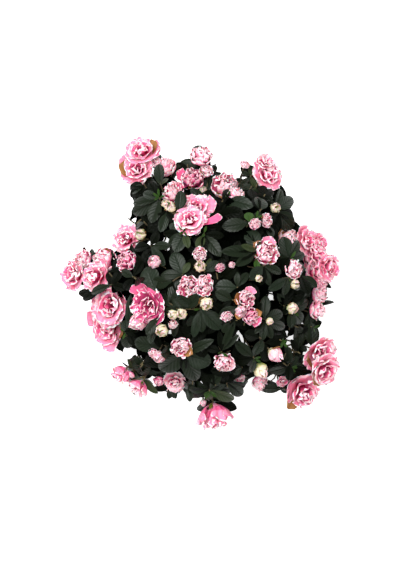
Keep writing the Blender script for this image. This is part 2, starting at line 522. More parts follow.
class Shrub:
    """All that grows, gathered before any mesh is made. Lists are kept by mass."""

    def __init__(self):
        self.paths = [[] for _ in MASSES]
        self.leaves = [[] for _ in MASSES]
        self.heads = [[] for _ in MASSES]
        self.entries = [entry_share(own) for own in range(len(MASSES))]
        self.blossoms = []
        self.seen = seen_cells()
        planned, finer = planned_shoots(), finer_shoots()
        for _, axis, blossom, _ in planned + finer:
            if blossom:
                _, head, width, _ = blossom
                self.blossoms.append((head - axis * (width * FOOT_SHARE), axis, FULLNESS * width / 2))
        for own in range(len(MASSES)):
            self.grow_mass(own, planned, finer)

    def grow_mass(self, own, planned, finer):
        """Twigs from the mass's limb to its shoots, and what grows on them."""
        start = self.entries[own]
        shoots, turns = [], []
        fine = Seeded(SEED + FINE_SEED + own)
        for group, random in ((planned, Seeded(SEED + own)), (finer, fine)):
            for shoot in group:
                if mass_around(shoot[0]) == own:
                    shoots.append(shoot)
                    turns.append((random(0, 2 * math.pi), mix(start, 1, random(0.2, 1))))
        for (foot, axis, blossom, seen), (turn, leaving) in zip(shoots, turns):
            root = limb_point(own, leaving)
            bend = foot - axis * (0.45 * (foot - root).length)
            path = keep_clear([bezier(root, bend, foot, t) for t in steps(TWIG_POINTS)])
            path[-1] = foot
            twig = [(p, mix(TWIG_START, TWIG_END, t)) for p, t in zip(path, steps(TWIG_POINTS))]
            if blossom:
                self.grow_blossom(own, foot, axis, blossom, turn, fine)
            elif seen:
                self.grow_seen(own, foot, axis, seen, turn, fine)
            elif not self.grow_tip(own, foot, axis, turn, fine):
                continue
            self.paths[own].append(twig)
            self.grow_sides(own, path, fine)

    def grow_blossom(self, own, foot, axis, blossom, turn, random):
        """A blossom at the end of its shoot, over a ring of leaves."""
        kind, head, width, tone = blossom
        base = foot + axis * STALK
        self.paths[own].append([(foot, TWIG_END), (base + axis * (0.1 * width), TWIG_END * 0.9)])
        self.heads[own].append((kind, base, axis, width, tone, turn, head))
        low = foot - axis * (UNDER_BLOSSOMS if out_share(foot.x, foot.y) < RIM_SHARE else 0)
        self.whorl(own, low, axis, 3 if width < 14 else 5, 0.05, 1.0, turn, random)

    def grow_seen(self, own, foot, axis, seen, turn, random):
        """A leafy shoot whose leaves lie on the dome as the photograph shows them."""
        fresh, leaves = seen
        for base, head_axis, radius in self.blossoms:
            if head_axis.z > 0.3 and math.hypot(foot.x - base.x, foot.y - base.y) < 0.45 * radius:
                foot = Vector((foot.x, foot.y, min(foot.z, base.z - 1)))
        tip = foot + axis * 4
        self.paths[own].append([(foot, TWIG_END), (tip, TWIG_END * 0.6)])
        for k, leaf in enumerate(leaves):
            azimuth, length, width, tint = (*leaf, USUAL)[:4]
            base = foot + axis * (3 * k / len(leaves))
            end = base + compass(math.radians(azimuth), length)
            lower = SHADED if tint == DARK else 0
            if any(math.hypot(end.x - b.x, end.y - b.y) < 0.7 * radius for b, _, radius in self.blossoms):
                lower = UNDER_BLOSSOMS
            rise = dome_height(end.x, end.y) - 3 - lower + random(-6, 4) - base.z
            steepest = max(STEEPEST, 0.75 * length)
            end.z += max(-steepest, min(steepest, rise))
            along = (end - base).normalized()
            across = (UP + axis * 0.4).cross(along).normalized()
            across = (across + along.cross(across) * random(-0.3, 0.3)).normalized()
            scale = (end - base).length / LEAF_LENGTH
            wide = width / (LEAF_WIDTH * scale)
            self.leaves[own].append((base, along, along.cross(across), scale, wide, random(0.04, 0.16), tint))
        self.whorl(own, tip, axis, 2 * fresh, 0.75, 0.3, turn, random, FRESH)

    def grow_tip(self, own, foot, axis, turn, random):
        """A leafy shoot by the rule: two rings of leaves and young ones round its bud. Returns how many."""
        count = 0
        for up, number, rise, size, turned in ((0, 5, 0.0, 1.02, 0), (2.5, 3, 0.55, 0.74, 0.6),
                                               (4.5, 2, 0.95, 0.4, 1.3)):
            count += self.whorl(own, foot + axis * up, axis, number, rise, size, turn + turned, random)
        if count:
            self.paths[own].append([(foot, TWIG_END), (foot + axis * 6, TWIG_END * 0.6)])
        return count

    def grow_sides(self, own, path, random):
        """Finer twigs that leave a twig on its way out and fill the crown with inner leaves."""
        length = (path[-1] - path[0]).length
        count = sum(length >= least for least in SIDE_TWIG_FROM)
        for k in range(count):
            at = path[int(TWIG_POINTS * (0.28 + 0.4 * k + random(0, 0.25)))]
            along = (path[-1] - path[0]).normalized()
            side = along.orthogonal().normalized()
            turned = compass(random(0, 2 * math.pi), 1)
            aside = side * turned.x + along.cross(side) * turned.y
            heading = (along * 0.5 + aside + UP * 0.25).normalized()
            foot = at + heading * random(13, 24)
            if foot.z < LOWEST_TWIG:
                continue
            middle = (at + foot) / 2 + along * 2
            outer = (heading + UP * 0.3).normalized()
            if self.whorl(own, foot, outer, 4, 0.25, 0.84, random(0, 2 * math.pi), random):
                self.paths[own].append([(at, TWIG_END), (middle, TWIG_END * 0.9), (foot, TWIG_END * 0.75)])

    def whorl(self, own, foot, axis, count, rise, size, turn, random, tint=None):
        """A ring of leaves round a shoot. Each tries a few places and is left out if it finds none. Returns
        how many leaves it has."""
        before = len(self.leaves[own])
        side = compass(turn, 1, TURNED_UP).cross(axis).normalized()
        across = axis.cross(side)
        for k in range(count):
            angle = 2 * math.pi * k / count + random(-0.16, 0.16)
            lift = rise + random(-0.12, 0.16)
            scale = size * random(0.84, 1.08)
            wide = random(0.9, 1.12) * (0.6 if tint == FRESH else 1)
            arch = random(0.02, 0.2)
            chance = random(0, 1)
            base = foot + axis * random(-1.5, 1.5)
            for aside, raised, share in TRIES:
                turned = angle + aside
                along = (side * math.cos(turned) + across * math.sin(turned)) * math.cos(lift + raised)
                along += axis * math.sin(lift + raised)
                along.z -= 0.35 * max(0, along.z) * (0 if tint else 1)
                along.normalize()
                across_leaf = (axis * 0.6 + UP * 0.6).cross(along).normalized()
                up = along.cross(across_leaf).normalized()
                middle = base + along * (LEAF_LENGTH * scale * 0.5)
                shade = self.shade(middle, chance) if tint is None else tint
                leaf = (base, along, up, scale * share, wide, arch, shade)
                if self.free(leaf):
                    self.leaves[own].append(leaf)
                    break
        return len(self.leaves[own]) - before

    def shade(self, middle, chance):
        """The tint of a leaf by how deep under the dome it grows."""
        depth = dome_height(middle.x, middle.y) - middle.z
        if depth > SHADED and out_share(middle.x, middle.y) < 0.9:
            return INNER if depth > HIDDEN else DARK
        return USUAL if chance < 0.55 else DARK if chance < 0.75 else COOL

    def free(self, leaf):
        """Whether a leaf keeps off the blossoms, the ground and the openings of the crown."""
        base, along, _, scale, wide, _, tint = leaf
        length = LEAF_LENGTH * scale
        for share in (0.2, 0.4, 0.6, 0.8, 1.0):
            point = base + along * (length * share)
            if point.z < LOWEST_LEAF:
                return False
            if tint != FRESH and cell(point.x, point.y) in self.seen:
                share = out_share(point.x, point.y)
                if point.z > dome_height(point.x, point.y) - COVERED * max(0.2, 1 - share**4):
                    return False
            half = 9 * scale * wide * (1 - abs(2 * share - 1.1) ** 2)
            if any(math.hypot(point.x - x, point.y - y) < radius + half for x, y, radius in OPENINGS):
                return False
            for foot, axis, radius in self.blossoms:
                way = point - foot
                height = way.dot(axis)
                if 0.3 * radius < height < 3 * radius:
                    if (way - axis * height).length < 0.85 * radius + 0.4 * half:
                        return False
                # Seen from above, a blossom is a body that widens from its foot to its face.
                face = axis * radius
                run = Vector((face.x, face.y, 0))
                aside = Vector((point.x - foot.x, point.y - foot.y, 0))
                out = min(1, max(0, aside.dot(run) / max(1, run.length_squared)))
                over = (aside - run * out).length
                if point.z > foot.z + 0.2 * radius and over < (0.35 + 0.4 * out) * radius + 0.4 * half:
                    return False
        return True


def add_node(tree, kind, inputs=None, **settings):
    """Adds a node to a tree. An input takes a plain value, another node's output, or a node, which gives its
    first output."""
    node = tree.nodes.new(kind)
    for name, value in settings.items():
        setattr(node, name, value)
    for name, value in (inputs or {}).items():
        if isinstance(value, bpy.types.Node):
            value = value.outputs[0]
        if isinstance(value, bpy.types.NodeSocket):
            tree.links.new(value, node.inputs[name])
        else:
            node.inputs[name].default_value = value
    return node


def new_tree(name, *sockets):
    """A geometry tree with the given inputs after its geometry. Returns it, what adds a node to it, and the
    given values."""
    tree = bpy.data.node_groups.new(name, "GeometryNodeTree")
    for label, kind in (("Geometry", "Geometry"), *sockets):
        tree.interface.new_socket(name=label, in_out="INPUT", socket_type=f"NodeSocket{kind}")
    tree.interface.new_socket(name="Geometry", in_out="OUTPUT", socket_type="NodeSocketGeometry")
    add = partial(add_node, tree)
    return tree, add, add("NodeGroupInput").outputs


def run_tree(mesh, tree, values):
    """Runs a geometry tree on a mesh with the given inputs and returns the plain mesh that it makes."""
    carrier = bpy.data.objects.new(mesh.name, mesh)
    bpy.context.scene.collection.objects.link(carrier)
    modifier = carrier.modifiers.new("grow", "NODES")
    modifier.node_group = tree
    for socket in tree.interface.items_tree:
        if socket.in_out == "INPUT" and socket.name in values:
            modifier[socket.identifier] = values[socket.name]
    evaluated = carrier.evaluated_get(bpy.context.evaluated_depsgraph_get())
    made = bpy.data.meshes.new_from_object(evaluated)
    carrier.modifiers.remove(modifier)
    bpy.data.objects.remove(carrier)
    bpy.data.meshes.remove(mesh)
    if not made.polygons:
        raise RuntimeError(f"{tree.name} made no faces")
    return made


def put_piece(name, mesh, stands_for=()):
    """A finished piece: it rides on the shrub's body and stands for the nodes that it replaces."""
    mesh.name = name
    piece = bpy.data.objects.new(name, mesh)
    bpy.context.scene.collection.objects.link(piece)
    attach(piece, "root")
    if stands_for:
        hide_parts(*stands_for)


def new_material(name):
    """An empty material. Returns it and what adds a node to it."""
    material = bpy.data.materials.new(name)
    material.use_nodes = True
    material.node_tree.nodes.clear()
    return material, partial(add_node, material.node_tree)


def finish_material(add, colour, roughness, specular, relief, **others):
    """The shader of a material, set plainly, over the bump of its relief."""
    inputs = {"Base Color": colour, "Roughness": roughness, "Specular IOR Level": specular, "Normal": relief}
    inputs.update({key.replace("_", " "): value for key, value in others.items()})
    add("ShaderNodeOutputMaterial", {"Surface": add("ShaderNodeBsdfPrincipled", inputs)})


def bark_material(name, colour, dark):
    """Azalea bark, thin and grown in place: grey-brown and dull, with fine lengthwise cracks and flakes
    that catch the light."""
    material, add = new_material(name)
    place = add("ShaderNodeTexCoord").outputs["Object"]
    # Cracks are about 1.2 mm apart round the stem and 6 mm long.
    stretched = add("ShaderNodeMapping", {"Vector": place, "Scale": (830, 830, 170)})
    cracks = add("ShaderNodeTexNoise", {"Vector": stretched, "Scale": 1, "Detail": 4, "Roughness": 0.6})
    # Patches of lichen grey are about 12 mm across.
    patches = add("ShaderNodeTexNoise", {"Vector": place, "Scale": 80, "Detail": 2})
    tone = add("ShaderNodeMath", {0: cracks, 1: patches}, operation="MULTIPLY")
    ramp = add("ShaderNodeValToRGB", {"Fac": tone})
    for stop, position, shown in zip(ramp.color_ramp.elements, (0.14, 0.36), (dark, colour)):
        stop.position = position
        stop.color = (*shown, 1)
    bump = add("ShaderNodeBump", {"Strength": 0.6, "Distance": 0.0008, "Height": cracks})
    finish_material(add, ramp, 0.85, 0.3, bump)
    return material


def leaf_material(name, colour, roughness, specular):
    """Azalea leaf, leathery and covered with a thin wax: near black green with a satin sheen. The sunken
    midrib and the side veins, 5 mm apart, break the sheen along the blade."""
    material, add = new_material(name)
    ways = add("ShaderNodeSeparateXYZ", {0: add("ShaderNodeUVMap", uv_map="blade")}).outputs
    aside = add("ShaderNodeMath", {0: ways["Y"]}, operation="ABSOLUTE")
    # Seven pairs of side veins run forward from the midrib over the blade's length.
    forward = add("ShaderNodeMath", {0: aside, 1: -0.3, 2: ways["X"]}, operation="MULTIPLY_ADD")
    turns = add("ShaderNodeMath", {0: forward, 1: 7 * 2 * math.pi}, operation="MULTIPLY")
    wave = add("ShaderNodeMath", {0: turns}, operation="COSINE")
    midrib = add("ShaderNodeMapRange",
                 {"Value": aside, "From Min": 0.0, "From Max": 0.14, "To Min": -4.0, "To Max": 0.0},
                 interpolation_type="SMOOTHSTEP")
    height = add("ShaderNodeMath", {0: wave, 1: 0.6, 2: midrib}, operation="MULTIPLY_ADD")
    bump = add("ShaderNodeBump", {"Strength": 0.6, "Distance": 0.0003, "Height": height})
    finish_material(add, (*colour, 1), roughness, specular, bump)
    return material


def petal_material(name, colour, glow):
    """Azalea petal, thin living tissue full of air: matt and soft, with light that goes a little way into
    it, and fine veins that fan out to the margin about 1 mm apart."""
    material, add = new_material(name)
    ways = add("ShaderNodeSeparateXYZ", {0: add("ShaderNodeUVMap", uv_map="blade")}).outputs
    turns = add("ShaderNodeMath", {0: ways["Y"], 1: 9 * 2 * math.pi}, operation="MULTIPLY")
    veins = add("ShaderNodeMath", {0: turns}, operation="SINE")
    bump = add("ShaderNodeBump", {"Strength": 0.25, "Distance": 0.0003, "Height": veins})
    finish_material(add, (*colour, 1), 0.6, 0.2, bump, Subsurface_Weight=glow,
                    Subsurface_Radius=(1.0, 0.3, 0.4), Subsurface_Scale=0.004)
    return material


def floor_material(name, colour):
    """Opal acrylic of a light table, sanded: matt, and lit evenly from below, so that it shows no shadow."""
    material, add = new_material(name)
    place = add("ShaderNodeTexCoord").outputs["Object"]
    # The sanding leaves a grain of about 1 mm.
    grain = add("ShaderNodeTexNoise", {"Vector": place, "Scale": 1000, "Detail": 2})
    bump = add("ShaderNodeBump", {"Strength": 0.05, "Distance": 0.0001, "Height": grain})
    finish_material(add, (*colour, 1), 0.9, 0.1, bump, Emission_Color=(1, 1, 1, 1), Emission_Strength=0.8)
    return material


def length_property(name, description, millimetres, low, high):
    return FloatProperty(name=name, description=description, default=millimetres * MM, min=low * MM,
                         max=high * MM, unit="LENGTH", subtype="DISTANCE")


class AzaleaSizes(bpy.types.PropertyGroup):
    """Sizes that a user would change."""

    leaf_length: length_property("Leaf length", "Length of a full leaf with its stalk", LEAF_LENGTH, 10, 80)
    leaf_width: length_property("Leaf width", "Width of a full leaf across its middle", LEAF_WIDTH, 4, 50)
    leaf_trough: FloatProperty(name="Leaf trough", description="Rise of a leaf's halves against its width",
                               default=0.2, min=0, max=0.5, subtype="FACTOR")
    twig_sides: IntProperty(name="Twig sides", description="Number of sides of a twig", default=6, min=3,
                            max=16)
    ruffle: FloatProperty(name="Ruffle", description="Depth of the petals' ruffles against their usual depth",
                          default=1.0, min=0, max=2, subtype="FACTOR")
    bark_relief: length_property("Bark relief", "Height of the ridges of the bark", 0.6, 0, 2)


def colour_property(name, description, hex_colour):
    return FloatVectorProperty(name=name, description=description, default=linear(hex_colour), size=3,
                               min=0, max=1, subtype="COLOR")


class AzaleaColours(bpy.types.PropertyGroup):
    """Colours that a user would change."""

    bark: colour_property("Bark", "Ridges of the bark", "#7b6856")
    bark_dark: colour_property("Bark cracks", "Cracks of the bark", "#3a2f26")
    twig: colour_property("Twigs", "Young bark of the twigs", "#5a5234")
    leaf: colour_property("Leaf", "Upper face of most leaves", "#121a0e")
    leaf_shade: colour_property("Leaf, dark", "Leaves under others", "#070a05")
    leaf_blue: colour_property("Leaf, cool", "Leaves with more wax", "#161f14")
    leaf_inner: colour_property("Leaf, inner", "Old leaves inside the crown", "#020302")
    leaf_young: colour_property("Leaf, young", "Leaves of this year", "#252f15")
    leaf_fresh: colour_property("Leaf, fresh", "Leaves that unfold", "#284016")
    throat: colour_property("Petal throat", "Foot of a petal", "#bd1d50")
    rose: colour_property("Petal, rose", "Lower part of the deepest blossoms' petals", "#aa3662")
    deep: colour_property("Petal, deep", "Lower part of a petal", "#da5d88")
    middle: colour_property("Petal, middle", "Blade of a petal", "#ea88a5")
    pale: colour_property("Petal, pale", "Upper part of a petal", "#f5bfc8")
    margin: colour_property("Petal margin", "White frill round a petal", "#fae2e6")
    cream: colour_property("Bud, cream", "Petals of a closed bud", "#e9d8b8")
    lime: colour_property("Bud, lime", "Foot of a closed bud", "#ccd088")
    sepal: colour_property("Sepals", "Green cup under a blossom", "#555f1c")
    scale: colour_property("Bud scales", "Dry scales under a blossom", "#93683c")


def add_rods(add, given, curve, radius):
    """Round rods along a curve, as thick as its radius says."""
    ring = add("GeometryNodeCurvePrimitiveCircle", {"Resolution": given["Sides"], "Radius": 1.0})
    return add("GeometryNodeCurveToMesh",
               {"Curve": curve, "Profile Curve": ring, "Fill Caps": True, "Scale": radius})


def finish_limbs(add, limbs, material):
    """The last nodes of limbs: smooth faces, real geometry and its bark."""
    smooth = add("GeometryNodeSetShadeSmooth", {"Geometry": limbs})
    real = add("GeometryNodeRealizeInstances", {"Geometry": smooth})
    add("NodeGroupOutput", {0: add("GeometryNodeSetMaterial", {"Geometry": real, "Material": material})})


def bark_tree():
    """Limbs of bark along paths: round rods whose skin is moved in and out by a stretched noise."""
    tree, add, given = new_tree("Bark along limbs", ("Sides", "Int"), ("Step", "Float"), ("Relief", "Float"),
                                ("Ridge width", "Float"), ("Bark", "Material"))
    radius = add("GeometryNodeInputNamedAttribute", {"Name": "thick"}, data_type="FLOAT")
    curve = add("GeometryNodeMeshToCurve", {"Mesh": given["Geometry"]})
    sized = add("GeometryNodeSetCurveRadius", {"Curve": curve, "Radius": radius})
    even = add("GeometryNodeResampleCurve", {"Curve": sized, "Length": given["Step"]}, mode="LENGTH")
    kept = add("GeometryNodeInputNamedAttribute", {"Name": "radius"}, data_type="FLOAT")
    rods = add_rods(add, given, even, kept)
    across = add("ShaderNodeMath", {0: 1.0, 1: given["Ridge width"]}, operation="DIVIDE")
    # A ridge is about four and a half times as long as it is wide.
    along = add("ShaderNodeMath", {0: across, 1: 0.22}, operation="MULTIPLY")
    scale = add("ShaderNodeCombineXYZ", {"X": across, "Y": across, "Z": along})
    place = add("GeometryNodeInputPosition")
    stretched = add("ShaderNodeVectorMath", {0: place, 1: scale}, operation="MULTIPLY")
    noise = add("ShaderNodeTexNoise", {"Vector": stretched, "Scale": 1.0, "Detail": 3.0, "Roughness": 0.6})
    height = add("ShaderNodeMapRange",
                 {"Value": noise, "From Min": 0.25, "From Max": 0.75, "To Min": -1.0, "To Max": 1.0})
    amount = add("ShaderNodeMath", {0: height, 1: given["Relief"]}, operation="MULTIPLY")
    normal = add("GeometryNodeInputNormal")
    offset = add("ShaderNodeVectorMath", {0: normal, "Scale": amount}, operation="SCALE")
    moved = add("GeometryNodeSetPosition", {"Geometry": rods, "Offset": offset})
    finish_limbs(add, moved, given["Bark"])
    return tree


def twig_tree():
    """Twigs along paths: thin rods that taper with the path."""
    tree, add, given = new_tree("Twigs along paths", ("Sides", "Int"), ("Bark", "Material"))
    radius = add("GeometryNodeInputNamedAttribute", {"Name": "thick"}, data_type="FLOAT")
    curve = add("GeometryNodeMeshToCurve", {"Mesh": given["Geometry"]})
    finish_limbs(add, add_rods(add, given, curve, radius), given["Bark"])
    return tree


# The outline of a blade: the place along it and the half width there, as shares of the longest and widest.
LEAF_OUTLINE = ((0.0, 0.07), (0.07, 0.1), (0.2, 0.5), (0.36, 0.85), (0.52, 1.0), (0.64, 0.98), (0.78, 0.83),
                (0.9, 0.54), (0.97, 0.25), (1.0, 0.0))
# The rows of a blade stand closer towards its round tip.
TIP_CLOSER = 1.35
# How much of its rise a half of a blade loses again towards its margin.
ROLLED_DOWN = 0.72


def leaf_tree():
    """Leaves on points: a blade of few faces in its own outline, troughed along the midrib, is set on every
    point along its own axes and then arched by the point's own amount."""
    tree, add, given = new_tree("Leaves on shoots", ("Length", "Float"), ("Width", "Float"),
                                ("Trough", "Float"), *((tint, "Material") for tint in LEAF_TINTS))
    grid = add("GeometryNodeMeshGrid", {"Size X": 1.0, "Size Y": 2.0, "Vertices X": 9, "Vertices Y": 5})
    flat = add("ShaderNodeSeparateXYZ", {0: add("GeometryNodeInputPosition")}).outputs
    left = add("ShaderNodeMath", {0: 0.5, 1: flat["X"]}, operation="SUBTRACT")
    closer = add("ShaderNodeMath", {0: left, 1: TIP_CLOSER}, operation="POWER")
    share = add("ShaderNodeMath", {0: 1.0, 1: closer}, operation="SUBTRACT")
    place = add("ShaderNodeCombineXYZ", {"X": share, "Y": flat["Y"]})
    marked = add("GeometryNodeStoreNamedAttribute", {"Geometry": grid, "Name": "blade", "Value": place},
                 data_type="FLOAT2", domain="CORNER")
    outline = add("ShaderNodeFloatCurve", {"Value": share})
    curve = outline.mapping.curves[0]
    curve.points[0].location = LEAF_OUTLINE[0]
    curve.points[1].location = LEAF_OUTLINE[-1]
    for point in LEAF_OUTLINE[1:-1]:
        curve.points.new(*point)
    outline.mapping.update()
    half = add("ShaderNodeMath", {0: given["Width"], 1: 0.5}, operation="MULTIPLY")
    wide = add("ShaderNodeMath", {0: outline, 1: half}, operation="MULTIPLY")
    out = add("ShaderNodeMath", {0: wide, 1: flat["Y"]}, operation="MULTIPLY")
    long = add("ShaderNodeMath", {0: share, 1: given["Length"]}, operation="MULTIPLY")
    # A half rises from the midrib and rolls down again to the margin.
    off = add("ShaderNodeMath", {0: flat["Y"]}, operation="ABSOLUTE")
    high = add("ShaderNodeMath", {0: off, 1: -ROLLED_DOWN, 2: 1.0}, operation="MULTIPLY_ADD")
    trough = add("ShaderNodeMath", {0: wide, 1: given["Trough"]}, operation="MULTIPLY")
    for factor in (off, trough, 4.0):
        high = add("ShaderNodeMath", {0: high, 1: factor}, operation="MULTIPLY")
    point = add("ShaderNodeCombineXYZ", {"X": long, "Y": out, "Z": high})
    shaped = add("GeometryNodeSetPosition", {"Geometry": marked, "Position": point})
    tip = add("GeometryNodeMergeByDistance", {"Geometry": shaped, "Distance": 0.00008})
    blade = add("GeometryNodeSetShadeSmooth", {"Geometry": tip})
    own = {}
    for name, kind in (("along", "FLOAT_VECTOR"), ("lift", "FLOAT_VECTOR"), ("size", "FLOAT_VECTOR"),
                       ("arch", "FLOAT"), ("tint", "INT"), ("blade", "FLOAT_VECTOR")):
        own[name] = add("GeometryNodeInputNamedAttribute", {"Name": name}, data_type=kind)
    turn = add("FunctionNodeAxesToRotation", {"Primary Axis": own["along"], "Secondary Axis": own["lift"]},
               primary_axis="X", secondary_axis="Z")
    set_out = add("GeometryNodeInstanceOnPoints",
                  {"Points": given["Geometry"], "Instance": blade, "Rotation": turn, "Scale": own["size"]})
    real = add("GeometryNodeRealizeInstances", {"Geometry": set_out})
    # The arch lowers a leaf by the square of the way to its tip.
    way = add("ShaderNodeSeparateXYZ", {0: own["blade"]}).outputs["X"]
    size = add("ShaderNodeSeparateXYZ", {0: own["size"]}).outputs["X"]
    down = add("ShaderNodeMath", {0: way, 1: 2.0}, operation="POWER")
    for factor in (own["arch"], size, given["Length"], -1.0):
        down = add("ShaderNodeMath", {0: down, 1: factor}, operation="MULTIPLY")
    offset = add("ShaderNodeVectorMath", {0: own["lift"], "Scale": down}, operation="SCALE")
    made = add("GeometryNodeSetPosition", {"Geometry": real, "Offset": offset})
    for k, tint in enumerate(LEAF_TINTS):
        same = add("FunctionNodeCompare", {2: own["tint"], 3: k}, data_type="INT", operation="EQUAL")
        made = add("GeometryNodeSetMaterial", {"Geometry": made, "Selection": same, "Material": given[tint]})
    add("NodeGroupOutput", {0: made})
    return tree


def path_mesh(name, paths):
    """Paths as a mesh of edges, with the radius at each point."""
    points, edges, radii = [], [], []
    for path in paths:
        first = len(points)
        points.extend(tuple(p * MM) for p, _ in path)
        radii.extend(radius * MM for _, radius in path)
        edges.extend((first + k, first + k + 1) for k in range(len(path) - 1))
    mesh = bpy.data.meshes.new(name)
    mesh.from_pydata(points, edges, [])
    mesh.attributes.new("thick", "FLOAT", "POINT").data.foreach_set("value", radii)
    return mesh


def trunk_radius(share):
    flare = (TRUNK_FOOT - TRUNK_NECK) * (1 - share) ** 6
    return mix(TRUNK_NECK, TRUNK_TOP, share) + flare


def bough_path(shrub, own):
    end = shrub.entries[own]
    return [(limb_point(own, t), mix(BOUGH_START, BOUGH_END, t / end)) for t in steps(20, 0, end)]


def stem_path(shrub, own):
    start = shrub.entries[own]
    return [(limb_point(own, t), mix(BOUGH_END, STEM_END, (t - start) / (1 - start)))
            for t in steps(10, start, 1)]


def petal_grid():
    """The faces of a petal, row by row from its foot, as places in its grid of points."""
    wide = len(COLUMNS)
    return [(row * wide + k, row * wide + k + 1, (row + 1) * wide + k + 1, (row + 1) * wide + k)
            for row in range(len(ROWS) - 1) for k in range(wide - 1)]


PETAL_FACES = np.array(petal_grid())
PETAL_UV = np.array([(u, v) for u in ROWS for v in COLUMNS])


class Petals:
    """Petals of one mass, gathered as arrays."""

    def __init__(self):
        self.points, self.slots = [], []

    def add(self, points, slots):
        self.points.append(points)
        self.slots.append(slots)

    def mesh(self, name, materials):
        per = len(PETAL_UV)
        count = len(self.points)
        points = np.concatenate(self.points) * MM
        faces = np.concatenate([PETAL_FACES + per * k for k in range(count)])
        mesh = bpy.data.meshes.new(name)
        mesh.from_pydata(points, [], faces)
        for material in materials:
            mesh.materials.append(material)
        mesh.polygons.foreach_set("material_index", np.concatenate(self.slots))
        mesh.polygons.foreach_set("use_smooth", np.ones(len(faces), bool))
        layer = mesh.uv_layers.new(name="blade")
        layer.data.foreach_set("uv", np.tile(PETAL_UV[PETAL_FACES.ravel()], (count, 1)).ravel())
        mesh.update()
        return mesh


def petal_points(azimuth, whorl, widths, radius, ruffle, random):
    """A petal's grid of points in the blossom's own frame: the midline is a curve in the plane of out and up,
    the blade is cupped round it, and ruffles grow towards the margin."""
    _, pull_out, pull_up, tip_out, tip_up, half_width, depth, waves = whorl
    # Ruffled petals differ more from each other than the smooth ones of a bud.
    uneven = min(1, 10 * depth)
    tip_out *= 1 + uneven * random(-0.24, 0.12)
    tip_up += uneven * random(-0.16, 0.1)
    half_width *= 1 + uneven * random(-0.18, 0.18)
    depth *= ruffle * random(0.8, 1.5)
    phase, side_phase, skew = random(0, FULL_TURN), random(0, FULL_TURN), random(-0.25, 0.25)
    shares = np.array(ROWS)[:, None]
    v = np.array(COLUMNS, float)
    # The inner edge of the margin is uneven, and the tip is rounded with a shallow notch.
    jag = np.array([[random(-1, 1) for _ in COLUMNS] for _ in ROWS])
    jag[5] = 0.75 * jag[4] + 0.25 * jag[5]
    s = shares + np.zeros(len(v))
    s = s + np.where(s >= ROWS[4], UNEVEN_EDGE * jag, 0)
    s = s * (1 - (0.22 * v**2 + 0.05 * np.exp(-((v / 0.16) ** 2))) * shares**3)
    out = 2 * s * (1 - s) * pull_out + s**2 * tip_out + (1 - s) ** 2 * FOOT_OUT
    up = 2 * s * (1 - s) * pull_up + s**2 * tip_up
    run_out = 2 * (1 - s) * (pull_out - FOOT_OUT) + 2 * s * (tip_out - pull_out)
    run_up = 2 * (1 - s) * pull_up + 2 * s * (tip_up - pull_up)
    length = np.hypot(run_out, run_up) + 1e-9
    normal_out, normal_up = -run_up / length, run_out / length
    wide = half_width * np.array(widths)[:, None] * (v + UNEVEN_EDGE * jag * (np.abs(v) == COLUMNS[-2]))
    cup = CUPPED * wide**2 / max(half_width, 0.05)
    grow = shares**2.2
    ruffled = depth * (grow * np.sin(math.pi * waves * v + phase)
                       + 0.8 * v**2 * shares * np.sin(2 * math.pi * 1.1 * s + side_phase) * np.sign(v + 1e-6)
                       + 0.2 * grow * jag * (np.abs(v) > 0.3))
    lifted = cup + ruffled
    out = out + normal_out * lifted
    up = up + normal_up * lifted
    side = wide + skew * s**2 * half_width * 0.5
    flat_x, flat_y = math.cos(azimuth), math.sin(azimuth)
    x = out * flat_x - side * flat_y
    y = out * flat_y + side * flat_x
    return np.stack([x, y, up], axis=-1).reshape(-1, 3) * radius


def petal_slots(kind, tone, ring, random):
    """Which material each face of a petal wears, from its foot to its white margin."""
    rows = list(PETAL_ROWS[kind])
    # Chance gives some petals a paler blade or no white margin, so that neighbours differ.
    if kind == "open" and ring == 0:
        rows[0:2] = (DEEP, MIDDLE)
    if kind == "open" and ring > 1:
        rows[1:3] = (ROSE, DEEP)
        if random(0, 1) < 0.5:
            rows[4] = PALE
    if kind == "open" and tone != 2 and random(0, 1) < 0.45:
        rows[3] = PALE
    if tone == 0 and kind != "bud":
        rows[3] = PALE
        if random(0, 1) < 0.6:
            rows[2] = PALE
    if kind == "half" and ring > 0 and random(0, 1) < 0.4:
        rows[4] = PALE
    if tone == 2:
        deeper = {DEEP: ROSE, MIDDLE: ROSE if random(0, 1) < 0.5 else DEEP, PALE: MIDDLE}
        rows = [deeper.get(slot, slot) for slot in rows]
        if ring > 0:
            rows[4] = PALE
    if tone == 3:
        rows = [{THROAT: ROSE, ROSE: DEEP, MARGIN: PALE}.get(slot, slot) for slot in rows]
    if kind == "bud" and tone == 1:
        rows = [CREAM, PALE, PALE, MIDDLE, MARGIN]
    slots = []
    for row, slot in enumerate(rows):
        for k in range(len(COLUMNS) - 1):
            if k in (0, len(COLUMNS) - 2) and row >= 2 and kind != "bud":
                slots.append(rows[4] if row >= 3 else PALE)
            else:
                slots.append(PALE if row == 3 and random(0, 1) < 0.2 else slot)
    return np.array(slots)


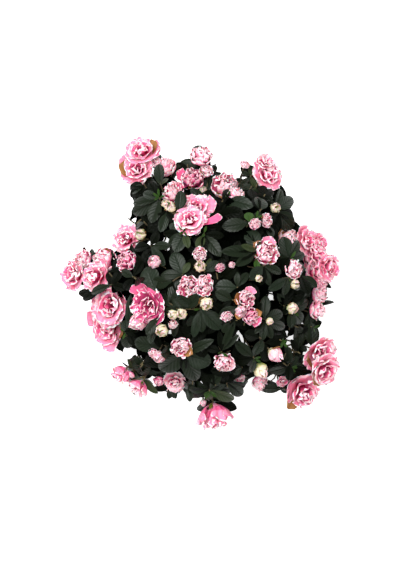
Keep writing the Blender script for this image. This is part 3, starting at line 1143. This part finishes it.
def add_blossom(petals, head, ruffle, random):
    """All petals of a blossom, its sepals and its dry scales."""
    kind, base, axis, width, tone, turn, place = head
    radius = FULLNESS * width / 2
    side = axis.cross(compass(turn, 1, TURNED_UP)).normalized()
    across = axis.cross(side)
    basis = np.array([side, across, axis])
    foot = np.array(base)
    whorls, widths = {"open": (OPEN_WHORLS, OPEN_WIDTHS), "half": (HALF_WHORLS, HALF_WIDTHS),
                      "bud": (BUD_WHORLS, BUD_WIDTHS), "trumpet": (TRUMPET_WHORLS, OPEN_WIDTHS)}[kind]
    start = random(0, FULL_TURN)
    # A blossom is never a perfect rose: it is pressed a little and its middle drifts.
    drift = np.array([random(-0.26, 0.26), random(-0.26, 0.26), 0])
    pressed = np.array([random(0.8, 1.08), random(0.84, 1.06), 1]) if kind != "bud" else np.ones(3)
    for ring, whorl in enumerate(whorls):
        start += 0.9 + random(-0.3, 0.3)
        for k in range(whorl[0]):
            azimuth = start + 2 * math.pi * k / whorl[0] + random(-0.32, 0.32)
            points = petal_points(azimuth, whorl, widths, radius, ruffle, random) * pressed
            points = points + drift * ring / 3 * points[:, 2:3]
            petals.add(points @ basis + foot, petal_slots(kind, tone, ring, random))
    rings = [(SEPALS, SEPAL)]
    if kind in ("half", "bud") and random(0, 1) < 0.5:
        rings.append((SCALES, SCALE))
    for whorl, slot in rings:
        for k in range(whorl[0]):
            azimuth = start + 2 * math.pi * k / whorl[0] + random(-0.3, 0.3)
            points = petal_points(azimuth, whorl, SEPAL_WIDTHS, radius, ruffle, random)
            petals.add(points @ basis + foot, np.full(len(PETAL_FACES), slot))
    for x, y, azimuth, reach, dry in LOOSE_PETALS:
        if math.hypot(x - place.x, y - place.y) < 1:
            way = compass(math.radians(azimuth), 1)
            tongue = reach > TONGUE_FROM
            whorl = (1, 0.86 * reach, 0.55, 1.04 * reach, 0.9, 0.36 if tongue else 0.56, 0.04, 1.2)
            points = petal_points(math.atan2(way.dot(across), way.dot(side)), whorl,
                                  BUD_WIDTHS if dry else HALF_WIDTHS, radius, ruffle, random)
            slots = petal_slots("open", 1 if tongue else tone, 0, random)
            if dry:
                slots = np.full(len(PETAL_FACES), SCALE)
            elif tongue:
                slots = np.where(slots == MIDDLE, DEEP, slots)
            petals.add(points @ basis + foot, slots)


def leaf_points_mesh(name, leaves):
    """The places of leaves as points, with all that sets each leaf apart."""
    bases, along, lift, scales, wide, arch, tint = zip(*leaves)
    mesh = bpy.data.meshes.new(name)
    mesh.from_pydata([tuple(base * MM) for base in bases], [], [])
    sizes = [(scale, scale * share, scale) for scale, share in zip(scales, wide)]
    for label, kind, field, values in (
        ("along", "FLOAT_VECTOR", "vector", along), ("lift", "FLOAT_VECTOR", "vector", lift),
        ("size", "FLOAT_VECTOR", "vector", sizes), ("arch", "FLOAT", "value", arch),
        ("tint", "INT", "value", tint),
    ):
        values = np.array(values, np.int32 if kind == "INT" else np.float32)
        mesh.attributes.new(label, kind, "POINT").data.foreach_set(field, values.ravel())
    return mesh


# Bark ridges are this wide, in millimetres.
RIDGE_WIDTH = 2.8

grown = {}


def ready(context):
    """The sizes, the colours and the grown shrub, which is made once for all operators."""
    if "shrub" not in grown:
        grown["shrub"] = Shrub()
    return context.scene.azalea_sizes, context.scene.azalea_colours, grown["shrub"]


class AZALEA_OT_bark(bpy.types.Operator):
    """Puts bark with its relief on the trunk and the boughs"""

    bl_idname = "azalea.bark"
    bl_label = "Bark of trunk and boughs"

    def execute(self, context):
        sizes, colours, shrub = ready(context)
        tree = bark_tree()
        bark = bark_material("azalea_bark_weathered", colours.bark, colours.bark_dark)
        shared = {"Ridge width": RIDGE_WIDTH * MM, "Bark": bark}
        # The relief needs a point of the skin about every millimetre, and less of it on the boughs.
        trunk = path_mesh("trunk_path", [[(trunk_point(t), trunk_radius(t)) for t in steps(24)]])
        made = run_tree(trunk, tree, {**shared, "Relief": sizes.bark_relief, "Sides": 56, "Step": 0.0011})
        for vertex in made.vertices:
            vertex.co.z = max(0.0, vertex.co.z)
        put_piece("trunk_bark", made, ["trunk"])
        boughs = path_mesh("bough_paths", [bough_path(shrub, own) for own in range(len(MASSES))])
        relief = sizes.bark_relief * 0.6
        made = run_tree(boughs, tree, {**shared, "Relief": relief, "Sides": 24, "Step": 0.0014})
        put_piece("boughs_bark", made, [f"bough_{mass[0]}" for mass in MASSES])
        return {"FINISHED"}


class AZALEA_OT_twigs(bpy.types.Operator):
    """Grows the stems and twigs of every foliage mass"""

    bl_idname = "azalea.twigs"
    bl_label = "Stems and twigs"

    def execute(self, context):
        sizes, colours, shrub = ready(context)
        tree = twig_tree()
        bark = bark_material("azalea_twig_bark_young", colours.twig, colours.bark_dark)
        for own, mass in enumerate(MASSES):
            paths = path_mesh("twig_paths", [stem_path(shrub, own), *shrub.paths[own]])
            made = run_tree(paths, tree, {"Sides": sizes.twig_sides, "Bark": bark})
            put_piece(f"twigs_{mass[0]}", made)
        return {"FINISHED"}


# The finish of a leaf by its tint: its colour, the material's name, its roughness and its specular level.
LEAF_FINISHES = (
    ("leaf", "azalea_leaf_waxed", 0.38, 0.15),
    ("leaf_shade", "azalea_leaf_waxed_dark", 0.42, 0.03),
    ("leaf_blue", "azalea_leaf_waxed_cool", 0.38, 0.17),
    ("leaf_inner", "azalea_leaf_old_dull", 0.7, 0.0),
    ("leaf_young", "azalea_leaf_young_soft", 0.5, 0.2),
    ("leaf_fresh", "azalea_leaf_fresh_soft", 0.5, 0.1),
)

# The finish of a petal's face by its slot: its colour, the material's name and how much light goes into it.
PETAL_FINISHES = (
    ("throat", "azalea_petal_throat", 0.2),
    ("rose", "azalea_petal_rose", 0.3),
    ("deep", "azalea_petal_deep", 0.4),
    ("middle", "azalea_petal_middle", 0.45),
    ("pale", "azalea_petal_pale", 0.5),
    ("margin", "azalea_petal_white_margin", 0.5),
    ("cream", "azalea_bud_petal_cream", 0.3),
    ("lime", "azalea_bud_petal_lime", 0.3),
    ("sepal", "azalea_sepal_soft_green", 0.05),
    ("scale", "azalea_bud_scale_dry", 0.0),
)


class AZALEA_OT_leaves(bpy.types.Operator):
    """Sets the whorls of leaves on the twigs of every foliage mass"""

    bl_idname = "azalea.leaves"
    bl_label = "Leaves"

    def execute(self, context):
        sizes, colours, shrub = ready(context)
        tree = leaf_tree()
        values = {"Length": sizes.leaf_length, "Width": sizes.leaf_width, "Trough": sizes.leaf_trough}
        for tint, (colour, name, roughness, specular) in zip(LEAF_TINTS, LEAF_FINISHES):
            values[tint] = leaf_material(name, getattr(colours, colour), roughness, specular)
        for own, mass in enumerate(MASSES):
            made = run_tree(leaf_points_mesh("leaf_places", shrub.leaves[own]), tree, values)
            put_piece(f"leaves_{mass[0]}", made, [f"foliage_{mass[0]}"])
        return {"FINISHED"}


class AZALEA_OT_blossoms(bpy.types.Operator):
    """Opens the blossoms and buds at the ends of their shoots"""

    bl_idname = "azalea.blossoms"
    bl_label = "Blossoms and buds"

    def execute(self, context):
        sizes, colours, shrub = ready(context)
        materials = [petal_material(name, getattr(colours, colour), glow)
                     for colour, name, glow in PETAL_FINISHES]
        for own, mass in enumerate(MASSES):
            petals = Petals()
            random = Seeded(SEED + PETAL_SEED + own)
            for head in shrub.heads[own]:
                add_blossom(petals, head, sizes.ruffle, random)
            put_piece(f"blossoms_{mass[0]}", petals.mesh("petals", materials))
        return {"FINISHED"}


# The photograph's frame: what a pixel spans at the crown, the height in pixels, how many of them the trunk's
# axis lies below the middle, and the height over the ground at which a pixel spans that much.
PIXEL = 1.3 * MM
IMAGE_HIGH = 570
AXIS_BELOW_MIDDLE = 3
SEEN_AT = 0.11
LENS = 180
SENSOR = 36
FLOOR_REACH = 20.0
# Soft boxes: name, place, side and power in watts. They look at a point a little above the ground.
SOFT_BOXES = (("key", (-0.6, 0.7, 2.4), 1.6, 112), ("fill", (0.9, -0.9, 2.4), 1.8, 32))
LIT_PLACE = (0, 0, 0.1)


def add_lamp(name, place, size, power):
    """A square soft box that looks at the shrub."""
    data = bpy.data.lights.new(name, "AREA")
    data.size = size
    data.energy = power
    lamp = bpy.data.objects.new(name, data)
    lamp.location = place
    lamp.rotation_euler = (Vector(LIT_PLACE) - Vector(place)).to_track_quat("-Z", "Y").to_euler()
    bpy.context.scene.collection.objects.link(lamp)


class AZALEA_OT_stage(bpy.types.Operator):
    """Sets the pale floor, the soft light and the camera straight above"""

    bl_idname = "azalea.stage"
    bl_label = "Floor, light and camera"

    def execute(self, context):
        scene = context.scene
        mesh = bpy.data.meshes.new("floor")
        corners = [(x * FLOOR_REACH, y * FLOOR_REACH, 0) for x, y in ((-1, -1), (1, -1), (1, 1), (-1, 1))]
        mesh.from_pydata(corners, [], [(0, 1, 2, 3)])
        mesh.materials.append(floor_material("opal_acrylic_sanded", linear("#f4f4f4")))
        floor = bpy.data.objects.new("floor", mesh)
        scene.collection.objects.link(floor)
        world = bpy.data.worlds.new("soft studio")
        world.use_nodes = True
        studio = world.node_tree.nodes["Background"].inputs
        studio["Color"].default_value = (1, 1, 1, 1)
        studio["Strength"].default_value = 0.26
        scene.world = world
        for soft_box in SOFT_BOXES:
            add_lamp(*soft_box)
        data = bpy.data.cameras.new("straight above")
        data.lens = LENS
        data.sensor_width = SENSOR
        data.clip_end = 50
        camera = bpy.data.objects.new("straight above", data)
        away = IMAGE_HIGH * PIXEL * LENS / SENSOR
        camera.location = (0, AXIS_BELOW_MIDDLE * PIXEL, SEEN_AT + away)
        scene.collection.objects.link(camera)
        scene.camera = camera
        scene.view_settings.view_transform = "Standard"
        return {"FINISHED"}


OPERATORS = (AZALEA_OT_bark, AZALEA_OT_twigs, AZALEA_OT_leaves, AZALEA_OT_blossoms, AZALEA_OT_stage)


class AZALEA_PT_panel(bpy.types.Panel):
    """Lists the steps that grow the shrub, and its sizes and colours"""

    bl_label = "Azalea"
    bl_idname = "AZALEA_PT_panel"
    bl_space_type = "VIEW_3D"
    bl_region_type = "UI"
    bl_category = "Azalea"

    def draw(self, context):
        for operator in OPERATORS:
            self.layout.operator(operator.bl_idname)
        for group in (context.scene.azalea_sizes, context.scene.azalea_colours):
            for name in group.__annotations__:
                self.layout.prop(group, name)


CLASSES = (AzaleaSizes, AzaleaColours, *OPERATORS, AZALEA_PT_panel)


def register():
    for cls in CLASSES:
        bpy.utils.register_class(cls)
    bpy.types.Scene.azalea_sizes = PointerProperty(type=AzaleaSizes)
    bpy.types.Scene.azalea_colours = PointerProperty(type=AzaleaColours)


def unregister():
    del bpy.types.Scene.azalea_sizes
    del bpy.types.Scene.azalea_colours
    for cls in reversed(CLASSES):
        bpy.utils.unregister_class(cls)


def main():
    register()
    bpy.ops.azalea.bark()
    bpy.ops.azalea.twigs()
    bpy.ops.azalea.leaves()
    bpy.ops.azalea.blossoms()
    bpy.ops.azalea.stage()


if __name__ == "__main__":
    main()
